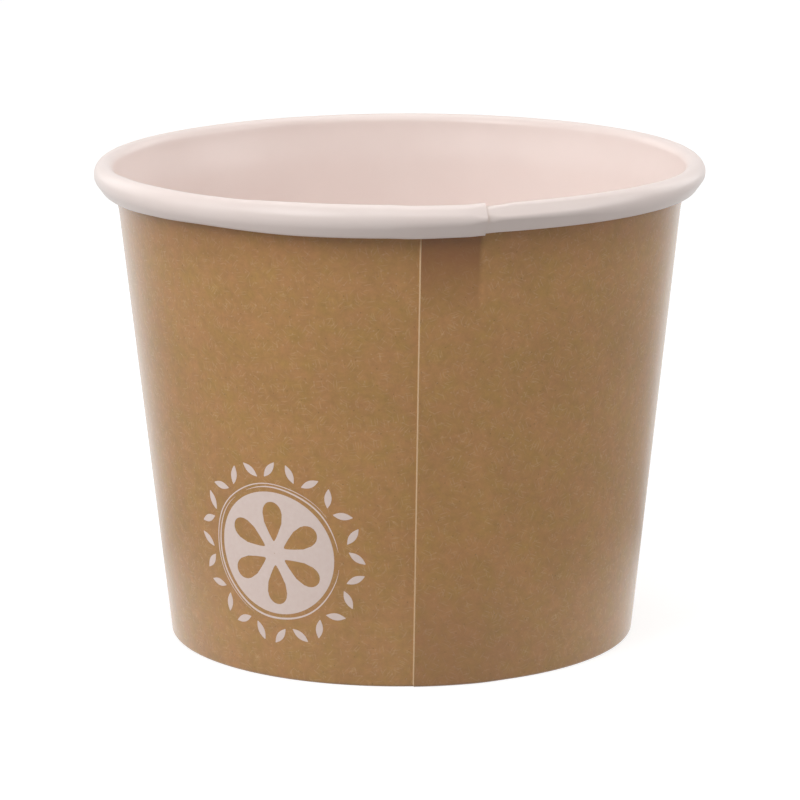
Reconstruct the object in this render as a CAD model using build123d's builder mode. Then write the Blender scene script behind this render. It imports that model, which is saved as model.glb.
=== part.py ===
"""Paper ice cream cup: a tapered side wall of coated board and the round bottom disc sealed into it.

The side wall is one fan-shaped sheet. It is bent to a cone and its two straight edges overlap in a
lapped seam. Its top edge is rolled outwards into the rim, and its bottom edge is folded inwards
round the skirt of the bottom disc. The origin is on the table at the middle of the foot, +Z is up,
and the front, with the seam just right of its middle, faces -Y. Lengths are in millimetres.
"""

import os
from math import asin, atan2, cos, degrees, hypot, pi, radians, sin, tan

from build123d import *

# Whole cup
cup_height = 60.3  # to the top of the rim at the lap, where it stands one layer higher
rim_diameter = 76.0  # over the outside of the rolled rim
foot_diameter = 58.3  # over the outside of the wall, where its slope meets the table

# Side wall sheet
board = 0.35  # thickness of the coated board
curl_width = 2.9  # rolled rim, from the wall's inner face to its outside
curl_height = 3.45  # away from the lap
curl_gap = 0.02  # between the wall and the edge tucked up behind the curl
curl_tuck = 0.6  # straight end of the sheet inside the curl
hem_height = 5.0  # folded bottom edge, up from the table
fold_inside = 0.08  # inner radius of the hem's two bends
foot_lift_share = 0.1  # how far the second layer's fold rises, of its step outwards
slope_digits = 3  # the wall's slope is rounded, so that a nearly upright wall is exactly upright

# Lapped seam
lap_width = 7.6  # overlap of the sheet's two straight edges
lap_angle = 10.0  # its middle, in degrees round the cup from the front
lap_press = 0.03  # how far heat and pressure drive one layer into the other
climb_angle = 10.0  # degrees in which the outer layer rises from the wall onto the inner one
relax_angle = 34.0  # degrees in which the outer layer's rim then grows out to full width
swell_start = 25.0  # degrees before the lap's middle, up to which the inner layer's rim stands high
swell_end = 50.0  # degrees before it, beyond which that rim has the plain height
facet_angle = 3.0  # flat facets round the stretches that change, each between two cross-sections

# Bottom disc
disc_board = 0.30  # thickness of its board
foot_recess = 6.0  # from the table up to the disc's underside
disc_bend = 0.35  # inner radius of the bend from disc to skirt
skirt_end_gap = 0.3  # from the skirt's edge down to the fold
seal_gap = 0.02  # glue line on each face of the skirt

# Curl: middle line of the board away from the lap, seen in a cross-section as radius and height
full_step = board - lap_press
curl_radius = (curl_width - board) / 2
curl_x = rim_diameter / 2 - board / 2 - curl_radius
curl_z = cup_height - full_step - board / 2 - curl_radius
under_z = cup_height - full_step - curl_height + board / 2

# Slope of the wall, whose middle line runs from the foot and touches the curl's top bend
foot_x = foot_diameter / 2 - board / 2
curl_slope = atan2(curl_x - foot_x, curl_z) - asin(curl_radius / hypot(curl_x - foot_x, curl_z))
taper = round(curl_slope, slope_digits)
skirt_inset = board / 2 + seal_gap + disc_board / 2
hem_inset = 2 * skirt_inset
fold_radius = fold_inside + board / 2

# Seam angles, counted from the middle of the lap towards the right
lap_half_angle = degrees(asin(lap_width / foot_diameter))
climb_end = lap_half_angle + climb_angle
relax_end = lap_half_angle + relax_angle

# The sheet's two ends are turned this far past the lap and then cut off straight, as the blank is
trim_reach = rim_diameter / 2 * sin(radians(climb_end))

# Bottom disc: middle line of its board
disc_z = foot_recess + disc_board / 2
skirt_edge_z = board + skirt_end_gap


def wall_x(height, inset=0.0):
    """Radius of the wall's middle line at a height, or of a line set in from it by an inset."""
    return foot_x + height * tan(taper) - inset / cos(taper)


def eased(angle, start, end):
    """1 up to the start angle, 0 beyond the end angle, and a smooth S between them."""
    share = min(max((angle - start) / (end - start), 0), 1)
    return (1 + cos(pi * share)) / 2


def section_plane(angle):
    """Upright plane through the cup's axis, at an angle from the middle of the lap."""
    return Plane.XZ.rotated((0, 0, lap_angle + angle - 90))


def facet_angles(start, end):
    """Angles of the cross-sections that part a stretch into equal facets, both ends included."""
    count = round((end - start) / facet_angle)
    return [start + (end - start) * step / count for step in range(count + 1)]


def draw_sheet(wall_step, swell, draw_in):
    """Draws the sheet's middle line from the hem's edge, round the fold, up the wall and round the curl.

    Over the lap the second layer stands off the first by wall_step on the wall and round its fold,
    and the first layer's curl closes round the second's: it is taller by swell at its top and its
    underside, while the second's outside is set in by draw_in. All are 0 away from the lap.
    """
    fold_z = board / 2 + wall_step * foot_lift_share
    outside_x = rim_diameter / 2 - board / 2 - draw_in
    peak_z = curl_z + curl_radius + swell
    top_radius = (outside_x - wall_x(peak_z, -wall_step)) * cos(taper) / (1 + cos(taper) - sin(taper))
    top_x = outside_x - top_radius
    top_z = peak_z - top_radius
    under_radius = top_radius - (board + curl_gap) / 2
    under_x = outside_x - under_radius
    under_mid = under_z - swell + under_radius
    tuck_x = under_x - under_radius

    hem_edge = (wall_x(hem_height, hem_inset + wall_step), hem_height)
    hem_corner = (wall_x(fold_z, hem_inset + wall_step), fold_z)
    foot_corner = (wall_x(fold_z, -wall_step), fold_z)
    wall_top = (top_x - top_radius * cos(taper), top_z + top_radius * sin(taper))
    FilletPolyline(hem_edge, hem_corner, foot_corner, wall_top, radius=fold_radius)
    CenterArc((top_x, top_z), top_radius, 180 - degrees(taper), degrees(taper) - 180)
    Line((outside_x, top_z), (outside_x, under_mid))
    CenterArc((under_x, under_mid), under_radius, 0, -180)
    Line((tuck_x, under_mid), (tuck_x, under_mid + curl_tuck))


# Side wall, plain stretch: the sheet once round the back, where nothing changes along it
with BuildPart() as plain_stretch:
    with BuildSketch(section_plane(relax_end)):
        with BuildLine():
            draw_sheet(0, 0, 0)
        trace(line_width=board)
    revolve(axis=Axis.Z, revolution_arc=360 - relax_end - swell_end)

# Side wall, swell: left of the seam, where the rim grows taller towards the lap
with BuildPart() as swell_stretch:
    for angle in facet_angles(swell_start, swell_end):
        with BuildSketch(section_plane(-angle)):
            with BuildLine():
                draw_sheet(0, full_step * eased(angle, swell_start, swell_end), 0)
            trace(line_width=board)
    loft(ruled=True)

# Side wall, first layer: the sheet's inner edge, over which the second layer is lapped
with BuildPart() as first_layer:
    with BuildSketch(section_plane(-swell_start)):
        with BuildLine():
            draw_sheet(0, full_step, 0)
        trace(line_width=board)
    revolve(axis=Axis.Z, revolution_arc=swell_start + climb_end)
    with BuildSketch(Plane.XY.rotated((0, 0, lap_angle - 90))):
        with Locations((0, lap_width / 2)):
            Rectangle(rim_diameter, trim_reach, align=(Align.MIN, Align.MIN))
    extrude(amount=cup_height, mode=Mode.SUBTRACT)

# Side wall, second layer: the sheet's outer edge, which lies on the first layer over the lap
with BuildPart() as second_layer:
    with BuildSketch(section_plane(-climb_end)):
        with BuildLine():
            draw_sheet(full_step, 0, full_step)
        trace(line_width=board)
    revolve(axis=Axis.Z, revolution_arc=climb_end + lap_half_angle)
    with BuildSketch(Plane.XY.rotated((0, 0, lap_angle - 90))):
        with Locations((0, -lap_width / 2)):
            Rectangle(rim_diameter, trim_reach, align=(Align.MIN, Align.MAX))
    extrude(amount=cup_height, mode=Mode.SUBTRACT)

# Side wall, climb: right of the seam, where the sheet leaves the wall and mounts the lap
with BuildPart() as climb_stretch:
    for angle in facet_angles(lap_half_angle, relax_end):
        with BuildSketch(section_plane(angle)):
            with BuildLine():
                wall_step = full_step * eased(angle, lap_half_angle, climb_end)
                draw_in = full_step * eased(angle, lap_half_angle, relax_end)
                draw_sheet(wall_step, 0, draw_in)
            trace(line_width=board)
    loft(ruled=True)

with BuildPart() as side_wall:
    add(plain_stretch.part)
    add(swell_stretch.part)
    add(first_layer.part)
    add(second_layer.part)
    add(climb_stretch.part)

# Bottom disc: a round of board with its edge bent down into a skirt
with BuildPart() as bottom_disc:
    with BuildSketch(Plane.XZ):
        with BuildLine():
            FilletPolyline(
                (0, disc_z),
                (wall_x(disc_z, skirt_inset), disc_z),
                (wall_x(skirt_edge_z, skirt_inset), skirt_edge_z),
                radius=disc_bend + disc_board / 2,
            )
        trace(line_width=disc_board)
    revolve(axis=Axis.Z)

os.makedirs("parts", exist_ok=True)
side_wall.part.label = "side_wall"
export_step(side_wall.part, "parts/side_wall.step")
bottom_disc.part.label = "bottom_disc"
export_step(bottom_disc.part, "parts/bottom_disc.step")
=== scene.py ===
import math

import bpy
from mathutils import Matrix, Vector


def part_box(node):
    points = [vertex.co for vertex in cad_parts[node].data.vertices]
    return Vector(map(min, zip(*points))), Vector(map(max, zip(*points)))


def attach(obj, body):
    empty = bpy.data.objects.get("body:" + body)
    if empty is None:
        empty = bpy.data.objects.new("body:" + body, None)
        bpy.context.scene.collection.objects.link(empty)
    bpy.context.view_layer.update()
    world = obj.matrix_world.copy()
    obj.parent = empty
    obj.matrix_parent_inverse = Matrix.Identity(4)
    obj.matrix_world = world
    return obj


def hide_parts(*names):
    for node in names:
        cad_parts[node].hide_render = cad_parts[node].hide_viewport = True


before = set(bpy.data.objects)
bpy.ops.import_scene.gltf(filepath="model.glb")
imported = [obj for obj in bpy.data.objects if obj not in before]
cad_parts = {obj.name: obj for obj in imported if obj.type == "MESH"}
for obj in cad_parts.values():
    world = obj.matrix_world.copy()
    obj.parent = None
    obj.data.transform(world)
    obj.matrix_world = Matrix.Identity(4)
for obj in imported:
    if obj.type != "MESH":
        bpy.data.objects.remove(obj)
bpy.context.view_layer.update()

# Side wall
# One fan-shaped sheet of kraft board, brown outside and coated white inside. It is bent to a cone and
# its straight edges are lapped and heat-sealed. Its top edge is curled outwards into the rim, and its
# bottom edge is folded inwards round the skirt of the bottom disc.
mm = 0.001
cup_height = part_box("side_wall")[1][2]
rim_radius = 38.0 * mm
foot_radius = 29.15 * mm
board = 0.35 * mm
curl_height = 3.45 * mm  # away from the lap
curl_gap = 0.02 * mm
curl_tuck = 0.6 * mm
tuck_reach = 0.12 * mm  # how far the tucked edge comes back towards the wall below its flare
curl_flare = 0.42 * mm  # how far the wall bends outwards just under the curl
flare_start = 53.5 * mm
hem_height = 5.0 * mm
foot_lift_share = 0.1  # how far the second layer's fold rises, of its step outwards
fold_inside = 0.08 * mm  # inner radius of the hem's two bends
fold_radius = fold_inside + board / 2
skirt_board = 0.30 * mm
glue_line = 0.02 * mm

lap_press = 0.03 * mm  # how far heat and pressure drive one layer of the lap into the other
lap_step = board - lap_press
curl_peak = cup_height - lap_step - board / 2
curl_foot = cup_height - lap_step - curl_height + board / 2
foot_line = foot_radius - board / 2
taper = 0.107  # slope of the wall, in radians
hem_inset = board + 2 * glue_line + skirt_board

lap_width = 7.6 * mm
lap_angle = math.radians(10.0)  # its middle, round from the front towards the right
lap_half_angle = math.asin(lap_width / 2 / foot_radius)
climb_angle = math.radians(10.0)
relax_angle = math.radians(34.0)
swell_start = math.radians(25.0)
swell_end = math.radians(50.0)
cut_slope = 0.17 * mm  # the blade leaves the sheet's cut edge leaning, so its pale core shows
# How the rolled rim came off its tool: degrees from the front, then how far its top and its
# underside lie off their plain heights, and the radius of its outermost bend, in mm. The lap is
# pressed flat at its top, and just right of it the second layer's bend is sharp.
rim_form = [
    (-180, 0.08, 0.1, 1.75), (-110, 0.0, 0.05, 1.75), (-76, -0.02, -0.1, 1.75), (-62, 0.14, -0.08, 1.75),
    (-50, 0.2, 0.02, 1.75), (-38, 0.18, 0.12, 1.75), (-27, 0.05, 0.1, 1.75), (-14, -0.01, 0.1, 1.75),
    (-1, -0.02, 0.1, 1.6), (4, -0.15, 0.0, 1.3), (14, -0.18, 0.06, 1.1), (17, -0.1, 0.12, 0.35),
    (20, 0.08, 0.12, 0.35), (30, 0.12, 0.13, 0.6), (42, 0.12, 0.14, 1.4), (51, 0.06, 0.12, 1.75),
    (61, -0.06, 0.04, 1.75), (70, -0.16, -0.08, 1.75), (82, -0.14, -0.12, 1.75), (115, 0.0, 0.05, 1.75),
    (180, 0.08, 0.1, 1.75),
]
bulge_height = 58.5 * mm  # of the rim's outermost line
upper_lean = math.radians(34)  # how far the rim's upper face is turned up, and its lower face down
lower_lean = math.radians(36)
bulge_share = 0.96  # of the widest outermost bend, so that some straight of the rim's upper face is left
# The brown face is painted darker in places: how much, and the heights where that fades. Under the
# curl this is painted shade, all round and most over the lap; down the lap's wall and at its foot it is
# just darker.
# painted shade under the rolled rim, all round
curl_shade = 0.35  # all round under the curl
curl_shade_fade = (50 * mm, 55 * mm)
# painted shadow of the rim over the lap, where the curl stands out most
lap_shade_top = 0.8  # over the lap under the curl
lap_mark_wall = 0.05  # over the lap down the wall
lap_mark_fade = (45 * mm, 54 * mm)
lap_mark_edge = (math.radians(4.1), math.radians(4.8))  # past the lap's middle, where the lap ends
foot_mark = 0.45  # at the lap's foot, and fading towards the right of it
foot_mark_fade = (2 * mm, 20 * mm)
columns = 360
wall_rows = 34
bend_rows = 14
short_rows = 2  # of each short straight in the curl
foot_row = bend_rows * 3 // 2 + 1  # the first of the wall's own rows, counted from the hem's edge


def wall_radius(height, inset=0.0):
    """Radius of the middle of the wall's board at a height, or of a line set in from it."""
    return foot_line + height * math.tan(taper) - inset / math.cos(taper)


def straight(start, end, count):
    """Points of a straight stretch of the sheet, each with the direction out of its brown face."""
    run = (end[0] - start[0], end[1] - start[1])
    length = math.hypot(*run)
    facing = (run[1] / length, -run[0] / length)
    shares = [step / count for step in range(count)]
    return [(start[0] + run[0] * s, start[1] + run[1] * s, *facing) for s in shares]


def flared(start, end, count):
    """Points of the wall's soft outward bend, which leaves and ends along the wall's own slope."""
    height = end[1] - start[1]
    points = []
    for step in range(count):
        share = step / count
        radius = start[0] + math.tan(taper) * height * share
        radius += curl_flare * share * share * (3 - 2 * share)
        slope = math.tan(taper) * height + curl_flare * 6 * share * (1 - share)
        length = math.hypot(height, slope)
        points.append((radius, start[1] + height * share, height / length, -slope / length))
    return points


def bend(centre, radius, start, end, count):
    """Points of a bend from one angle to another. The brown face is outside where it turns left."""
    side = 1 if end > start else -1
    points = []
    for step in range(count):
        angle = start + (end - start) * step / count
        out = (math.cos(angle), math.sin(angle))
        place = (centre[0] + radius * out[0], centre[1] + radius * out[1])
        points.append((*place, side * out[0], side * out[1]))
    return points


def widest_bulge(drop, width, lean, slope):
    """Radius of the outermost bend that leaves a curl_side no straight stretch."""
    across = math.cos(lean) + (1 - math.sin(slope)) / math.cos(slope)
    turned = 1 - math.sin(lean)
    return (drop * across - width * turned) / (math.sin(lean) * across - (1 - math.cos(lean)) * turned)


def curl_side(drop, width, bulge, lean, slope):
    """Length of the straight and radius of the end bend on one side of the curl's outermost bend.

    drop and width are how far the end bend reaches from the outermost line, up or down and inwards.
    """
    drop -= bulge * math.sin(lean)
    width -= bulge * (1 - math.cos(lean))
    across = math.cos(lean) + (1 - math.sin(slope)) / math.cos(slope)
    scale = math.cos(lean) * across - math.sin(lean) * (1 - math.sin(lean))
    radius = (width * math.cos(lean) - drop * math.sin(lean)) / scale
    length = (drop * across - width * (1 - math.sin(lean))) / scale
    return length, radius


def sheet_section(wall_step, top_rise, under_drop, draw_in, bulge):
    """The sheet's middle line from the hem's edge to the edge tucked into the curl.

    A second layer stands off the first by wall_step on the wall. The curl's top is raised by top_rise,
    its underside lowered by under_drop, its outside set in by draw_in, and its outermost bend has the
    radius bulge.
    """
    fold_z = board / 2 + wall_step * foot_lift_share
    outside = rim_radius - board / 2 - draw_in
    peak = curl_peak + top_rise
    wall_side = wall_radius(peak, -wall_step) + curl_flare
    rise = peak - bulge_height
    bulge = min(bulge, bulge_share * widest_bulge(rise, outside - wall_side, upper_lean, taper))
    upper_length, top_radius = curl_side(rise, outside - wall_side, bulge, upper_lean, taper)
    tuck_side = wall_side + board + curl_gap - tuck_reach
    sink = bulge_height - curl_foot + under_drop
    lower_length, under_radius = curl_side(sink, outside - tuck_side, bulge, lower_lean, 0)
    middle = (outside - bulge, bulge_height)
    upper_end = (middle[0] + bulge * math.cos(upper_lean), middle[1] + bulge * math.sin(upper_lean))
    upper_start = (
        upper_end[0] - upper_length * math.sin(upper_lean),
        upper_end[1] + upper_length * math.cos(upper_lean),
    )
    top = (
        upper_start[0] - top_radius * math.cos(upper_lean),
        upper_start[1] - top_radius * math.sin(upper_lean),
    )
    lower_start = (middle[0] + bulge * math.cos(lower_lean), middle[1] - bulge * math.sin(lower_lean))
    lower_end = (
        lower_start[0] - lower_length * math.sin(lower_lean),
        lower_start[1] - lower_length * math.cos(lower_lean),
    )
    under = (
        lower_end[0] - under_radius * math.cos(lower_lean),
        lower_end[1] + under_radius * math.sin(lower_lean),
    )

    quarter = math.pi / 2
    hem_bend = (
        wall_radius(fold_z, hem_inset + wall_step) + fold_radius * math.tan((quarter + taper) / 2),
        fold_z + fold_radius,
    )
    foot_bend = (
        wall_radius(fold_z, -wall_step) - fold_radius * math.tan((quarter - taper) / 2),
        fold_z + fold_radius,
    )
    hem_top = (wall_radius(hem_height, hem_inset + wall_step), hem_height)
    hem_end = (
        hem_bend[0] - fold_radius * math.cos(taper),
        hem_bend[1] + fold_radius * math.sin(taper),
    )
    wall_start = (
        foot_bend[0] + fold_radius * math.cos(taper),
        foot_bend[1] - fold_radius * math.sin(taper),
    )
    wall_end = (top[0] - top_radius * math.cos(taper), top[1] + top_radius * math.sin(taper))
    tuck = (under[0] - under_radius, under[1])

    points = straight(hem_top, hem_end, bend_rows // 2)
    points += bend(hem_bend, fold_radius, math.pi - taper, 3 * quarter, bend_rows // 2)
    points += straight((hem_bend[0], fold_z), (foot_bend[0], fold_z), 1)
    points += bend(foot_bend, fold_radius, -quarter, -taper, bend_rows // 2)
    neck = (wall_radius(flare_start, -wall_step), flare_start)
    points += straight(wall_start, neck, wall_rows)
    points += flared(neck, wall_end, bend_rows)
    points += bend(top, top_radius, math.pi - taper, upper_lean, bend_rows)
    points += straight(upper_start, upper_end, short_rows)
    points += bend(middle, bulge, upper_lean, -lower_lean, bend_rows)
    points += straight(lower_start, lower_end, short_rows)
    points += bend(under, under_radius, -lower_lean, -math.pi, bend_rows)
    tuck_top = (tuck[0], tuck[1] + curl_tuck)
    points += straight(tuck, tuck_top, short_rows)
    points.append((*tuck_top, *points[-1][2:]))
    return points


def eased(angle, start, end):
    """1 up to the start angle, 0 beyond the end angle, and a smooth S between them."""
    share = min(max((angle - start) / (end - start), 0), 1)
    return (1 + math.cos(math.pi * share)) / 2


def cup_point(radius, height, angle):
    """A point of the cup from its radius, height and angle from the lap's middle to the right."""
    turn = lap_angle + angle
    return (radius * math.sin(turn), -radius * math.cos(turn), height)


def rim_form_at(angle):
    """The rim's form at an angle from the front, as in rim_form, in metres."""
    degrees = (math.degrees(angle) + 180) % 360 - 180
    for here, after in zip(rim_form, rim_form[1:]):
        if degrees <= after[0]:
            share = eased(degrees, here[0], after[0])
            return [(h * share + a * (1 - share)) * mm for h, a in zip(here[1:], after[1:])]
    return [number * mm for number in rim_form[-1][1:]]


def shade_and_mark(height, beyond):
    """How darkly the brown face is painted at a height and at an angle past the lap's middle.

    Under the curl this is painted shade; down the lap's wall and at its foot the face is just darker.
    """
    # painted shade under the curl, all round
    curl_shade_here = curl_shade * (1 - eased(height, *curl_shade_fade))
    at_lap = lap_shade_top - (lap_shade_top - lap_mark_wall) * eased(height, *lap_mark_fade)
    at_foot = foot_mark * eased(height, *foot_mark_fade) * eased(beyond, 0, relax_angle)
    return curl_shade_here + at_lap * eased(beyond, *lap_mark_edge) + at_foot


def side_wall_mesh():
    """The sheet as a closed skin: brown face, white face and its four cut edges.

    It comes with the slots of its faces and, for each point, its place on the flat sheet in mm, which
    the kraft's pattern follows, and how darkly it is painted, painted shade under the curl included.
    """
    plain = sheet_section(0, 0, 0, 0, rim_form[0][3] * mm)
    rows = len(plain)
    apex_distance = foot_line / math.sin(taper)
    run_lengths = [0.0]
    for here, after in zip(plain, plain[1:]):
        run_lengths.append(run_lengths[-1] + math.hypot(after[0] - here[0], after[1] - here[1]))
    verts = []
    flat = []
    shade_and_marks = []
    for column in range(columns + 1):
        share = column / columns
        before = lap_half_angle - share * (2 * math.pi + 2 * lap_half_angle)
        beyond = before + 2 * math.pi
        wall_step = lap_step * eased(beyond, lap_half_angle, lap_half_angle + climb_angle)
        draw_in = lap_step * eased(beyond, lap_half_angle, lap_half_angle + relax_angle)
        swell = lap_step * eased(-before, swell_start, swell_end)
        top_lift, under_lift, bulge = rim_form_at(lap_angle + before)
        line = sheet_section(wall_step, swell + top_lift, swell - under_lift, draw_in, bulge)
        for row, (radius, height, out_r, out_z) in enumerate(line):
            lap_end = math.asin(lap_width / 2 / plain[row][0])
            angle = lap_end - share * (2 * math.pi + 2 * lap_end)
            slant = apex_distance + run_lengths[row] - run_lengths[foot_row]
            spread = angle * math.sin(taper)
            for side in (1, -1):
                reach = side * board / 2
                lean = 0.0
                if column == columns and side > 0:
                    lean = cut_slope / radius
                if column == 0 and side < 0:
                    lean = -cut_slope / 2 / radius
                verts.append(cup_point(radius + out_r * reach, height + out_z * reach, angle + lean))
                flat.append((slant * math.sin(spread) / mm, slant * math.cos(spread) / mm))
                shade_and_marks.append(shade_and_mark(height, beyond))

    def at(column, row, side):
        return (column * rows + row) * 2 + side

    faces = []
    slots = []
    brown, white, cut = 0, 1, 2
    for column in range(columns):
        for row in range(rows - 1):
            corners = [(column, row), (column, row + 1), (column + 1, row + 1), (column + 1, row)]
            faces.append([at(*corners[number], 0) for number in (0, 1, 2, 3)])
            faces.append([at(*corners[number], 1) for number in (0, 3, 2, 1)])
            slots += [brown, white]
        for row, order in ((0, 1), (rows - 1, -1)):
            edge = [at(column, row, 0), at(column + 1, row, 0), at(column + 1, row, 1), at(column, row, 1)]
            faces.append(edge[::order])
            slots.append(cut)
    for row in range(rows - 1):
        for column, order in ((0, -1), (columns, 1)):
            edge = [at(column, row, 0), at(column, row + 1, 0), at(column, row + 1, 1), at(column, row, 1)]
            faces.append(edge[::order])
            slots.append(cut)
    return verts, faces, slots, flat, shade_and_marks


sharp_turn = math.radians(35)  # edges at which the surface turns more than this stay sharp


def make_piece(name, verts, faces, slots, materials, flat=None):
    """A mesh object with smooth faces, sharp cut edges and, where given, its flat layout in mm."""
    mesh = bpy.data.meshes.new(name)
    mesh.from_pydata(verts, [], faces)
    for material in materials:
        mesh.materials.append(material)
    mesh.polygons.foreach_set("material_index", slots)
    if flat:
        layout = mesh.uv_layers.new(name="flat_blank")
        corners = [flat[loop.vertex_index] for loop in mesh.loops]
        layout.uv.foreach_set("vector", [number for corner in corners for number in corner])
    mesh.shade_smooth()
    mesh.set_sharp_from_angle(angle=sharp_turn)
    mesh.update()
    piece = bpy.data.objects.new(name, mesh)
    bpy.context.scene.collection.objects.link(piece)
    return piece


def paint(hex_colour):
    """Linear colour of an sRGB hex value."""
    parts = [int(hex_colour[i:i + 2], 16) / 255 for i in (1, 3, 5)]
    return [p / 12.92 if p <= 0.04045 else ((p + 0.055) / 1.055) ** 2.4 for p in parts] + [1]


def add_node(material, kind, settings=None, **inputs):
    """Adds a node. settings are its own, and inputs its sockets: a value, or an output to link.

    Socket names have _ for a space, and a number n is given as n_0, n_1 and so on.
    """
    tree = material.node_tree
    made = tree.nodes.new("ShaderNode" + kind)
    for name, value in (settings or {}).items():
        setattr(made, name, value)
    for name, value in inputs.items():
        socket = made.inputs[int(name[2:]) if name.startswith("n_") else name.replace("_", " ")]
        if isinstance(value, bpy.types.NodeSocket):
            tree.links.new(value, socket)
        else:
            socket.default_value = value
    return made


def new_material(name):
    """An empty material with its output node."""
    material = bpy.data.materials.new(name)
    material.use_nodes = True
    material.node_tree.nodes.clear()
    return material, add_node(material, "OutputMaterial")


def set_ramp(ramp, stops):
    """Gives a colour ramp its stops: (place, colour)."""
    elements = ramp.color_ramp.elements
    while len(elements) > 1:
        elements.remove(elements[-1])
    elements[0].position, elements[0].color = stops[0]
    for place, colour in stops[1:]:
        elements.new(place).color = colour


# Brown kraft board: unbleached long-fibre pulp, pressed and varnished. It gives the eye a warm brown
# that drifts softly between redder and yellower patches, with fine pale fibres and flecks lying every
# way, a few dark specks, and a clear varnish that turns pale where it is seen edge-on.
patch_size = 3.2  # mm, as all sizes of this material are, because it lies on the flat sheet in mm
cloud_size = 8.0
mottle_size = 1.1
mottle_share = 0.65  # of the tone, against the clouds
grain_size = 0.4
grain_share = 0.3
fibre_length = 2.6  # of the cell that holds one fibre
fibre_width = 0.32  # a real fibre is 0.03 mm wide, drawn coarser to show
fibre_turns = [0.2, 0.95, 1.75, 2.6]
fibre_sway = 0.5
# Pale flecks and dark specks: spacing, radius, share of the places that have one, colour and cover.
dot_kinds = [(0.9, 0.10, 0.4, "#E2C29A", 0.22), (2.2, 0.07, 0.5, "#5E4424", 0.4)]
shade_and_mark_cover = 0.65  # where the painted shade under the curl and the darker lap are darkest


def kraft_board():
    material, output = new_material("kraft_board")
    flat = add_node(material, "UVMap", {"uv_map": "flat_blank"}).outputs["UV"]
    patches = add_node(material, "TexNoise", Vector=flat, Scale=1 / patch_size, Detail=3.0, Roughness=0.6)
    clouds = add_node(material, "TexNoise", Vector=flat, Scale=1 / cloud_size, Detail=2.0, Roughness=0.5)
    mottle = add_node(material, "TexNoise", Vector=flat, Scale=1 / mottle_size, Detail=4.0, Roughness=0.65)
    grain = add_node(material, "TexNoise", Vector=flat, Scale=1 / grain_size, Detail=3.0, Roughness=0.7)
    hue = add_node(material, "ValToRGB", Fac=patches.outputs[0])
    set_ramp(hue, [(0.38, paint("#C18D58")), (0.52, paint("#BD8D54")), (0.66, paint("#BA8E50"))])
    tone = add_node(
        material, "MixRGB", Fac=mottle_share, Color1=clouds.outputs[0], Color2=mottle.outputs[0]
    )
    tone = add_node(material, "MixRGB", Fac=grain_share, Color1=tone.outputs[0], Color2=grain.outputs[0])
    level = add_node(material, "MapRange", Value=tone.outputs[0], n_1=0.36, n_2=0.64, n_3=0.86, n_4=1.13)
    shade = add_node(
        material, "VectorMath", {"operation": "SCALE"}, n_0=hue.outputs[0], Scale=level.outputs[0]
    )
    colour = shade.outputs[0]

    sway = add_node(
        material, "VectorMath", {"operation": "SCALE"}, n_0=mottle.outputs["Color"], Scale=fibre_sway
    )
    bent = add_node(material, "VectorMath", {"operation": "ADD"}, n_0=flat, n_1=sway.outputs[0]).outputs[0]
    height = grain.outputs[0]
    for turn in fibre_turns:
        lying = add_node(
            material, "Mapping", {"vector_type": "TEXTURE"},
            Vector=bent, Rotation=(0, 0, turn), Scale=(fibre_length, fibre_width, 1),
        )
        cells = add_node(
            material, "TexVoronoi", {"voronoi_dimensions": "2D"}, Vector=lying.outputs[0], Scale=1.0
        )
        line = add_node(
            material, "MapRange", Value=cells.outputs["Distance"], n_1=0.12, n_2=0.24, n_3=1.0, n_4=0.0
        )
        pick = add_node(material, "SeparateColor", Color=cells.outputs["Color"])
        some = add_node(material, "MapRange", Value=pick.outputs[0], n_1=0.6, n_2=1.0, n_3=0.0, n_4=0.3)
        fibre = add_node(
            material, "Math", {"operation": "MULTIPLY"}, n_0=line.outputs[0], n_1=some.outputs[0]
        )
        shown = fibre.outputs[0]
        colour = add_node(material, "MixRGB", Fac=shown, Color1=colour, Color2=paint("#DBB78A")).outputs[0]
        height = add_node(material, "Math", {"operation": "ADD"}, n_0=height, n_1=shown).outputs[0]

    for spacing, radius, share, tint, cover in dot_kinds:
        dots = add_node(
            material, "TexVoronoi", {"voronoi_dimensions": "2D"}, Vector=bent, Scale=1 / spacing
        )
        dot = add_node(
            material, "MapRange", Value=dots.outputs["Distance"],
            n_1=radius / spacing * 0.6, n_2=radius / spacing * 1.4, n_3=cover, n_4=0.0,
        )
        pick = add_node(material, "SeparateColor", Color=dots.outputs["Color"])
        some = add_node(material, "Math", {"operation": "LESS_THAN"}, n_0=pick.outputs[0], n_1=share)
        spot = add_node(
            material, "Math", {"operation": "MULTIPLY"}, n_0=dot.outputs[0], n_1=some.outputs[0]
        )
        shown = spot.outputs[0]
        colour = add_node(material, "MixRGB", Fac=shown, Color1=colour, Color2=paint(tint)).outputs[0]

    # Painted shade under the rolled rim, strongest over the lap, and the darker lap wall and foot, mixed
    # in as #8A5630.
    shade_and_marks = add_node(material, "Attribute", {"attribute_name": "shade_and_marks"}).outputs["Fac"]
    shade_and_mark_amount = add_node(material, "Math", {"operation": "MULTIPLY"}, n_0=shade_and_marks, n_1=shade_and_mark_cover).outputs[0]
    colour = add_node(material, "MixRGB", Fac=shade_and_mark_amount, Color1=colour, Color2=paint("#8A5630")).outputs[0]
    satin = add_node(material, "MapRange", Value=mottle.outputs[0], n_1=0.3, n_2=0.7, n_3=0.5, n_4=0.6)
    relief = add_node(material, "Bump", Strength=0.2, Distance=0.015 * mm, Height=height)
    skin = add_node(
        material, "BsdfPrincipled", Base_Color=colour, Roughness=satin.outputs[0],
        Normal=relief.outputs[0], IOR=1.25, Coat_Weight=1.0, Coat_Roughness=0.2, Coat_IOR=1.45,
    )
    material.node_tree.links.new(skin.outputs[0], output.inputs["Surface"])
    return material


# White coating: bleached board under a thin film of clear plastic, laid on hot between rollers. It
# gives the eye a warm white with a soft gloss, on a barely pebbled surface.
tint_size = 6 * mm
pebble_size = 0.5 * mm


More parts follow.
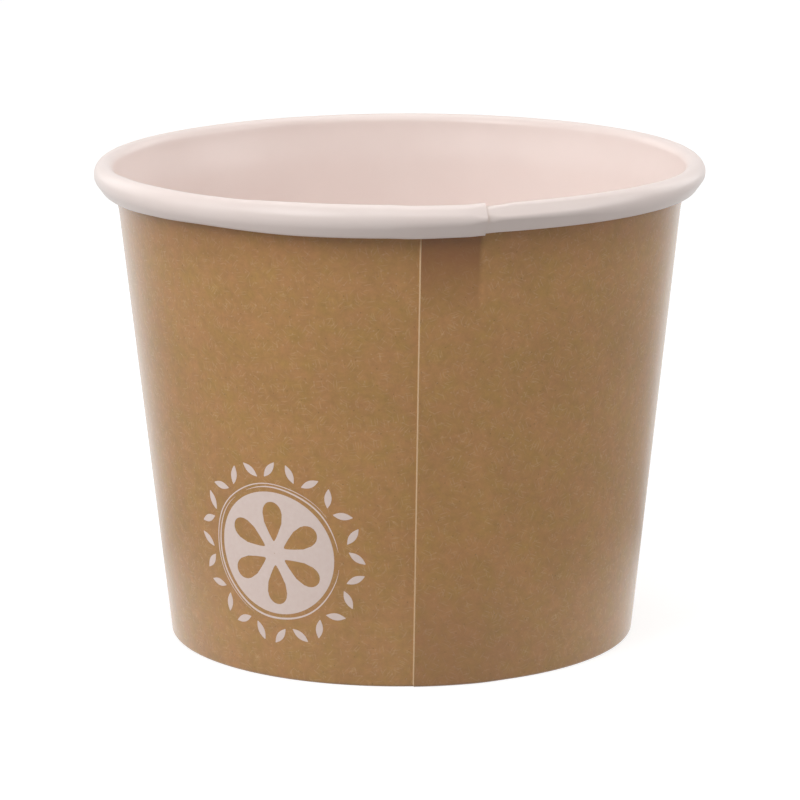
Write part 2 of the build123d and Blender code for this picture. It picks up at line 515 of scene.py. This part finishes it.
def white_coating():
    material, output = new_material("coated_white_board")
    place = add_node(material, "TexCoord").outputs["Object"]
    clouds = add_node(material, "TexNoise", Vector=place, Scale=1 / tint_size, Detail=2.0)
    colour = add_node(
        material, "MixRGB", Fac=clouds.outputs[0], Color1=paint("#F5E5DF"), Color2=paint("#F9EBE5")
    )
    pebble = add_node(material, "TexNoise", Vector=place, Scale=1 / pebble_size, Detail=2.0)
    gloss = add_node(material, "MapRange", Value=clouds.outputs[0], n_1=0.3, n_2=0.7, n_3=0.29, n_4=0.34)
    relief = add_node(material, "Bump", Strength=0.12, Distance=0.02 * mm, Height=pebble.outputs[0])
    skin = add_node(
        material, "BsdfPrincipled", Base_Color=colour.outputs[0], Roughness=gloss.outputs[0],
        Normal=relief.outputs[0], IOR=1.42,
    )
    material.node_tree.links.new(skin.outputs[0], output.inputs["Surface"])
    return material


# Cut board edge: the raw core of the sheet where the die cut it. It gives the eye a pale, dull,
# slightly fuzzy line.
fuzz_size = 0.25 * mm


def cut_edge():
    material, output = new_material("cut_board_edge")
    place = add_node(material, "TexCoord").outputs["Object"]
    fuzz = add_node(material, "TexNoise", Vector=place, Scale=1 / fuzz_size, Detail=3.0)
    colour = add_node(
        material, "MixRGB", Fac=fuzz.outputs[0], Color1=paint("#CBA880"), Color2=paint("#E8CDA8")
    )
    relief = add_node(material, "Bump", Strength=0.4, Distance=0.03 * mm, Height=fuzz.outputs[0])
    core = add_node(
        material, "BsdfPrincipled", Base_Color=colour.outputs[0], Roughness=0.85,
        Normal=relief.outputs[0], IOR=1.5,
    )
    material.node_tree.links.new(core.outputs[0], output.inputs["Surface"])
    return material


kraft = kraft_board()
white = white_coating()
core_edge = cut_edge()
verts, faces, slots, flat, shade_and_marks = side_wall_mesh()
side_wall = make_piece("cup_side_wall", verts, faces, slots, [kraft, white, core_edge], flat)
# per point: painted shade under the curl, and the darker lap wall and foot
side_wall.data.attributes.new("shade_and_marks", "FLOAT", "POINT").data.foreach_set("value", shade_and_marks)
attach(side_wall, "root")
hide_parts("side_wall")

# Bottom disc
# A round of thinner coated board with its edge bent down into a skirt. The skirt is heat-sealed
# between the wall and the hem, which keeps the cup's floor up off the table.
floor_underside = 6.0 * mm
skirt_gap = 0.3 * mm  # from the skirt's edge down to the fold
disc_bend_inside = 0.35 * mm
disc_bend = disc_bend_inside + skirt_board / 2
skirt_end = board + skirt_gap
disc_columns = 180
disc_rows = 12
skirt_rows = 4


def bottom_disc_mesh():
    """The disc as a closed skin of revolution, from its middle out and down the skirt."""
    inset = board / 2 + glue_line + skirt_board / 2
    middle_z = floor_underside + skirt_board / 2
    corner = wall_radius(middle_z, inset)
    turn = math.pi / 2 + taper
    centre = (corner - disc_bend * math.tan(turn / 2), middle_z - disc_bend)
    skirt_top = (centre[0] + disc_bend * math.cos(taper), centre[1] - disc_bend * math.sin(taper))
    skirt_foot = (wall_radius(skirt_end, inset), skirt_end)
    line = straight((centre[0] / disc_rows, middle_z), (centre[0], middle_z), disc_rows)
    line += bend(centre, disc_bend, math.pi / 2, -taper, disc_rows)
    line += straight(skirt_top, skirt_foot, skirt_rows)
    line.append((*skirt_foot, *line[-1][2:]))
    rows = len(line)
    verts = []
    for column in range(disc_columns):
        angle = 2 * math.pi * column / disc_columns
        for radius, height, out_r, out_z in line:
            for side in (1, -1):
                lift = side * skirt_board / 2
                verts.append(cup_point(radius - out_r * lift, height - out_z * lift, angle))

    def at(column, row, side):
        return (column % disc_columns * rows + row) * 2 + side

    faces = []
    for column in range(disc_columns):
        after = column + 1
        for row in range(rows - 1):
            top = [at(column, row, 0), at(column, row + 1, 0), at(after, row + 1, 0), at(after, row, 0)]
            faces.append(top)
            faces.append([number + 1 for number in top[::-1]])
        end = rows - 1
        faces.append([at(column, end, 0), at(column, end, 1), at(after, end, 1), at(after, end, 0)])
    for side in (0, 1):
        hub = len(verts)
        verts.append((0, 0, middle_z + (1 - 2 * side) * skirt_board / 2))
        for column in range(disc_columns):
            wedge = [at(column, 0, side), at(column + 1, 0, side), hub]
            faces.append(wedge[:: 1 - 2 * side])
    return verts, faces


verts, faces = bottom_disc_mesh()
bottom_disc = make_piece("cup_bottom_disc", verts, faces, [0] * len(faces), [white])
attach(bottom_disc, "root")
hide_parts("bottom_disc")

# Printed badge
# White ink printed on the flat sheet before it was bent, left of the seam. It is a plain round badge:
# a disc with six petals left bare, three hand-drawn strokes round it, and a ring of small leaves.
badge_angle = math.radians(-29.6)  # round from the front
badge_height = 16.2 * mm
ink = 0.012 * mm
badge_radius = 7.8 * mm
petals = 6
petal_middle = 4.05 * mm
petal_half_length = 2.5 * mm
petal_half_turn = math.radians(17)
disc_hub = 0.05 * mm  # the ink's middle, a hole too small to be seen
disc_lines = 144
disc_rings = 5
# Each stroke's radius and width in mm, and the degrees between which it is drawn.
strokes = [(8.4, 0.26, 100, 320), (8.8, 0.16, 205, 415), (8.4, 0.22, -25, 85)]
stroke_waver = 0.04  # mm
stroke_wavers = 7  # in a whole turn
stroke_taper = 0.6  # the lower, the blunter its ends
stroke_tip_share = 0.01  # of its length, which keeps one width at each end
stroke_lines = 80
leaves = 24
leaf_ring = 10.65 * mm
leaf_length = 2.4 * mm
leaf_width = 0.9 * mm
leaf_tilt = math.radians(38)
leaf_taper = 0.8
leaf_tip_share = 0.02
leaf_lines = 12


def on_wall(across, up, lift):
    """A point of the flat print, in metres from the badge's middle, bent round onto the wall."""
    half = board / 2 + lift
    middle_distance = (wall_radius(badge_height) + half * math.cos(taper)) / math.sin(taper)
    along = middle_distance + up
    distance = math.hypot(across, along)
    turn = badge_angle + math.atan2(across, along) / math.sin(taper)
    radius = distance * math.sin(taper)
    height = badge_height - half * math.sin(taper) + (distance - middle_distance) * math.cos(taper)
    return (radius * math.sin(turn), -radius * math.cos(turn), height)


badge_verts = []
badge_faces = []


def print_patch(inner, outer, count, rows, closed):
    """A patch of ink between two outlines, each a function of a share from 0 to 1."""
    lines = count if closed else count + 1
    first = len(badge_verts)
    for line in range(lines):
        low, high = inner(line / count), outer(line / count)
        for row in range(rows + 1):
            across = low[0] + (high[0] - low[0]) * row / rows
            up = low[1] + (high[1] - low[1]) * row / rows
            badge_verts.append(on_wall(across, up, ink))
            badge_verts.append(on_wall(across, up, -ink / 2))

    def at(line, row, back):
        return first + ((line % lines) * (rows + 1) + row) * 2 + back

    for line in range(count):
        after = line + 1
        for row in range(rows):
            front = [at(line, row, 0), at(line, row + 1, 0), at(after, row + 1, 0), at(after, row, 0)]
            badge_faces.append(front)
            badge_faces.append([number + 1 for number in front[::-1]])
        for row, order in ((0, 1), (rows, -1)):
            edge = [at(line, row, 0), at(after, row, 0), at(after, row, 1), at(line, row, 1)]
            badge_faces.append(edge[::order])
    if not closed:
        for row in range(rows):
            for line, order in ((0, -1), (count, 1)):
                edge = [at(line, row, 0), at(line, row + 1, 0), at(line, row + 1, 1), at(line, row, 1)]
                badge_faces.append(edge[::order])


def polar(radius, angle):
    """Flat place at a radius and an angle from the badge's middle, from its top clockwise."""
    return (radius * math.sin(angle), radius * math.cos(angle))


def petal_reach(share, side):
    """Radius of a petal's near (-1) or far (1) end there, or of the line through its middle."""
    sector = 2 * math.pi / petals
    off = (share * 2 * math.pi + sector / 2) % sector - sector / 2
    open_share = max(1 - (off / petal_half_turn) ** 2, 0)
    return petal_middle + side * petal_half_length * math.sqrt(open_share)


print_patch(
    lambda s: polar(petal_reach(s, -1), s * 2 * math.pi),
    lambda s: polar(disc_hub, s * 2 * math.pi),
    disc_lines, disc_rings, True,
)
print_patch(
    lambda s: polar(badge_radius, s * 2 * math.pi),
    lambda s: polar(petal_reach(s, 1), s * 2 * math.pi),
    disc_lines, disc_rings, True,
)
for radius, width, start, end in strokes:
    def stroke_edge(share, side, radius=radius, width=width, start=start, end=end):
        """One edge of a hand-drawn stroke, which swells from a point and thins again."""
        angle = math.radians(start + (end - start) * share)
        inner_share = min(max(share, stroke_tip_share), 1 - stroke_tip_share)
        body = math.sin(math.pi * inner_share) ** stroke_taper
        waver = stroke_waver * math.sin(stroke_wavers * angle + radius)
        return polar((radius + waver + side * width / 2 * body) * mm, angle)

    print_patch(lambda s: stroke_edge(s, 1), lambda s: stroke_edge(s, -1), stroke_lines, 1, False)

for number in range(leaves):
    around = 2 * math.pi * number / leaves
    heart = polar(leaf_ring, around)
    tilt = math.pi / 2 - around + (leaf_tilt if number % 2 else -leaf_tilt)

    def leaf_edge(share, side, heart=heart, tilt=tilt):
        """One edge of a small pointed leaf along its length."""
        along = (share - 0.5) * leaf_length
        inner_share = min(max(share, leaf_tip_share), 1 - leaf_tip_share)
        off = side * leaf_width / 2 * math.sin(math.pi * inner_share) ** leaf_taper
        return (
            heart[0] + along * math.cos(tilt) - off * math.sin(tilt),
            heart[1] + along * math.sin(tilt) + off * math.cos(tilt),
        )

    print_patch(lambda s: leaf_edge(s, 1), lambda s: leaf_edge(s, -1), leaf_lines, 1, False)


# White printing ink: a thin matt film rolled onto the board. It gives the eye a warm white through
# which the brown fibres show a little.
ink_cloud_size = 0.6 * mm


def printing_ink():
    material, output = new_material("white_printing_ink")
    place = add_node(material, "TexCoord").outputs["Object"]
    cover = add_node(
        material, "TexNoise", Vector=place, Scale=1 / ink_cloud_size, Detail=3.0, Roughness=0.6
    )
    colour = add_node(
        material, "MixRGB", Fac=cover.outputs[0], Color1=paint("#EFD8CE"), Color2=paint("#F9E7DF")
    )
    relief = add_node(material, "Bump", Strength=0.2, Distance=0.01 * mm, Height=cover.outputs[0])
    film = add_node(
        material, "BsdfPrincipled", Base_Color=colour.outputs[0], Roughness=0.5,
        Normal=relief.outputs[0], IOR=1.5,
    )
    material.node_tree.links.new(film.outputs[0], output.inputs["Surface"])
    return material


badge = make_piece("printed_badge", badge_verts, badge_faces, [0] * len(badge_faces), [printing_ink()])
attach(badge, "root")

# Table
# A wide pale sheet for the cup to stand on. It is lit to white and keeps the cup's soft shadow.
table_half = 4.0
lit_side = (-0.12, 0.993, 0.0)  # towards the back, where the room is brightest
table_lift = 0.75  # added for the camera, so that the lit sheet reaches white
near_table = 34 * mm  # up to here from the cup's axis the sheet shows white in gloss, and then it fades
far_table = 80 * mm


def white_table():
    material, output = new_material("white_table_sheet")
    rays = add_node(material, "LightPath").outputs
    place = add_node(material, "TexCoord").outputs["Object"]
    way = add_node(material, "VectorMath", {"operation": "NORMALIZE"}, n_0=place)
    behind = add_node(
        material, "VectorMath", {"operation": "DOT_PRODUCT"}, n_0=way.outputs[0], n_1=lit_side
    )
    shine = add_node(
        material, "MapRange", {"interpolation_type": "SMOOTHSTEP"},
        Value=behind.outputs["Value"], n_1=0.35, n_2=0.9, n_3=0.25, n_4=0.9,
    )
    distance = add_node(material, "VectorMath", {"operation": "LENGTH"}, n_0=place)
    near = add_node(
        material, "MapRange", {"interpolation_type": "SMOOTHSTEP"},
        Value=distance.outputs["Value"], n_1=near_table, n_2=far_table, n_3=1.0, n_4=0.0,
    )
    shine = add_node(material, "Math", {"operation": "MAXIMUM"}, n_0=shine.outputs[0], n_1=near.outputs[0])
    shine = add_node(
        material, "Math", {"operation": "MULTIPLY"}, n_0=shine.outputs[0], n_1=rays["Is Glossy Ray"]
    )
    seen = add_node(
        material, "Math", {"operation": "MAXIMUM"},
        n_0=rays["Is Camera Ray"], n_1=rays["Is Transmission Ray"],
    )
    seen = add_node(material, "Math", {"operation": "MAXIMUM"}, n_0=seen.outputs[0], n_1=shine.outputs[0])
    lift = add_node(material, "Math", {"operation": "MULTIPLY"}, n_0=seen.outputs[0], n_1=table_lift)
    paper = add_node(material, "BsdfDiffuse", Color=paint("#B0B0B0"))
    glow = add_node(material, "Emission", Color=(1, 1, 1, 1), Strength=lift.outputs[0])
    both = add_node(material, "AddShader", n_0=paper.outputs[0], n_1=glow.outputs[0])
    material.node_tree.links.new(both.outputs[0], output.inputs["Surface"])
    return material


corners = [(x * table_half, y * table_half, 0) for x, y in ((-1, -1), (1, -1), (1, 1), (-1, 1))]
table = make_piece("table_sheet", corners, [[0, 1, 2, 3]], [0], [white_table()])

# Camera
# A long lens about half a metre away, a little above the rim and looking slightly down.
camera_place = (0, -524.4 * mm, 143.9 * mm)
camera_aim = (-0.09 * mm, 0, 29.11 * mm)
camera_roll = math.radians(-0.27)  # it was held a little aslant
camera = bpy.data.objects.new("camera", bpy.data.cameras.new("camera"))
camera.data.sensor_width = 36
camera.data.lens = 191.8
camera.data.clip_start = 0.01


def aim(thing, place, target):
    """Puts a camera or lamp at a place and turns it to look at a target."""
    thing.location = place
    way = [t - p for t, p in zip(target, place)]
    tilt = math.atan2(math.hypot(way[0], way[1]), -way[2])
    thing.rotation_euler = (tilt, 0, math.atan2(-way[0], way[1]))


aim(camera, camera_place, camera_aim)
roll = Matrix.Rotation(camera_roll, 3, "Z")
camera.rotation_euler = (camera.rotation_euler.to_matrix() @ roll).to_euler()
bpy.context.scene.collection.objects.link(camera)
bpy.context.scene.camera = camera

# Studio light
# Soft boxes round the cup and over it, with the strongest at the front left and none at the front
# right, in a pale room that shows in the gloss and is brightest behind.
lamp_aim = (0, 0, 30 * mm)
lamps = [  # name, place and width in metres, watts
    ("soft_box_left", (-0.913, -0.161, 0.405), 0.6, 1.8),
    ("soft_box_front_left", (-0.548, -0.609, 0.604), 0.5, 4.5),
    ("soft_box_top", (0.0, 0.259, 0.996), 0.8, 3.4),
    ("soft_box_right", (0.918, -0.129, 0.405), 0.6, 3.1),
    ("soft_box_back_left", (-0.72, 0.604, 0.372), 0.6, 1.5),
    ("soft_box_back_right", (0.72, 0.604, 0.372), 0.6, 2.0),
    ("soft_box_front", (0.056, -0.64, 0.796), 0.5, 1.1),
    ("soft_box_over_front", (0.1, -0.36, 0.93), 0.6, 1.1),
]
for name, place, size, power in lamps:
    light = bpy.data.lights.new(name, "AREA")
    light.shape = "SQUARE"
    light.size = size
    light.energy = power
    lamp = bpy.data.objects.new(name, light)
    aim(lamp, place, lamp_aim)
    bpy.context.scene.collection.objects.link(lamp)

world = bpy.data.worlds.new("pale_room")
world.use_nodes = True
world.node_tree.nodes.clear()
world_output = add_node(world, "OutputWorld")
rays = add_node(world, "LightPath").outputs
way = add_node(world, "TexCoord").outputs["Generated"]
behind = add_node(world, "VectorMath", {"operation": "DOT_PRODUCT"}, n_0=way, n_1=lit_side)
shine = add_node(
    world, "MapRange", {"interpolation_type": "SMOOTHSTEP"},
    Value=behind.outputs["Value"], n_1=0.35, n_2=0.9, n_3=0.15, n_4=0.8,
)
shine = add_node(world, "Math", {"operation": "MULTIPLY"}, n_0=shine.outputs[0], n_1=rays["Is Glossy Ray"])
seen = add_node(
    world, "Math", {"operation": "MAXIMUM"}, n_0=rays["Is Camera Ray"], n_1=rays["Is Transmission Ray"]
)
level = add_node(world, "Math", {"operation": "MAXIMUM"}, n_0=seen.outputs[0], n_1=shine.outputs[0])
room = add_node(world, "Background", Color=(1, 1, 1, 1), Strength=level.outputs[0])
world.node_tree.links.new(room.outputs[0], world_output.inputs["Surface"])
bpy.context.scene.world = world
bpy.context.scene.view_settings.view_transform = "Standard"
